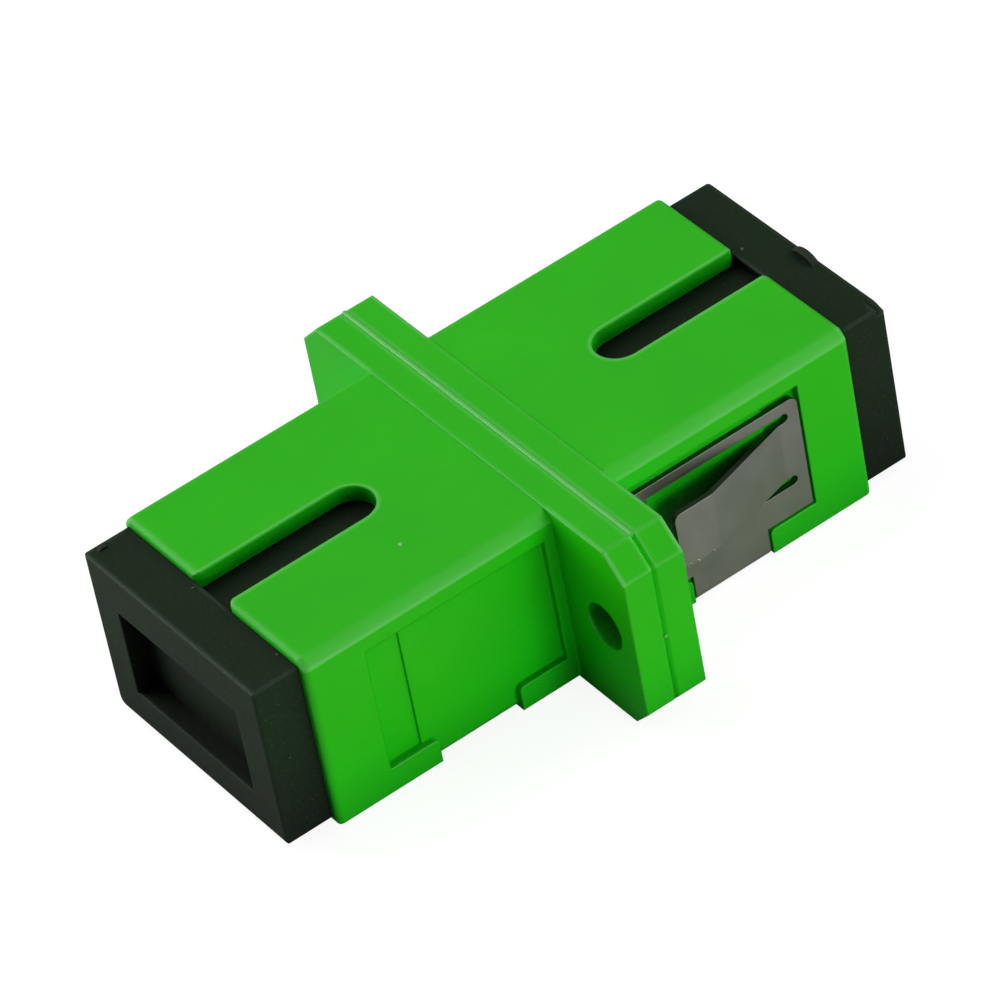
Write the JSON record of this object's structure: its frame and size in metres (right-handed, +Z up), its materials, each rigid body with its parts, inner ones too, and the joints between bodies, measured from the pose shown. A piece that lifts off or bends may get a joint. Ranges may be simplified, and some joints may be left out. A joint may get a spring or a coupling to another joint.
{
  "type": "simplex fibre optic adapter",
  "caption": "Flanged adapter that lines up two square fibre plugs end to end, with keyed ports, a spring panel clip and push-in dust caps.",
  "frame": {"origin": "middle of the alignment sleeve, on the plane where the two halves meet", "axes": "+Y along the light path towards the half with the panel clip, +X across the wide side, +Z up through the key slots"},
  "size_m": [0.022, 0.032, 0.0092],
  "materials": {
    "green_housing": "satin moulded plastic",
    "latch_plastic": "satin moulded plastic",
    "sleeve_ceramic": "polished white ceramic",
    "clip_steel": "satin rolled stainless sheet",
    "black_cap": "fine grained matte moulded plastic"
  },
  "bodies": {
    "adapter": {"housing_front": "green_housing", "housing_rear": "green_housing", "latch_insert_front": "latch_plastic", "latch_insert_rear": "latch_plastic", "split_sleeve": "sleeve_ceramic", "panel_clip": "clip_steel"},
    "front_cap": {"dust_cap_front": "black_cap"},
    "rear_cap": {"dust_cap_rear": "black_cap"}
  },
  "joints": [
    {"name": "front_cap_slide", "type": "slide", "parent": "adapter", "child": "front_cap", "axis": [0, -1, 0], "range_m": [0, 0.02]},
    {"name": "rear_cap_slide", "type": "slide", "parent": "adapter", "child": "rear_cap", "axis": [0, 1, 0], "range_m": [0, 0.02]}
  ]
}
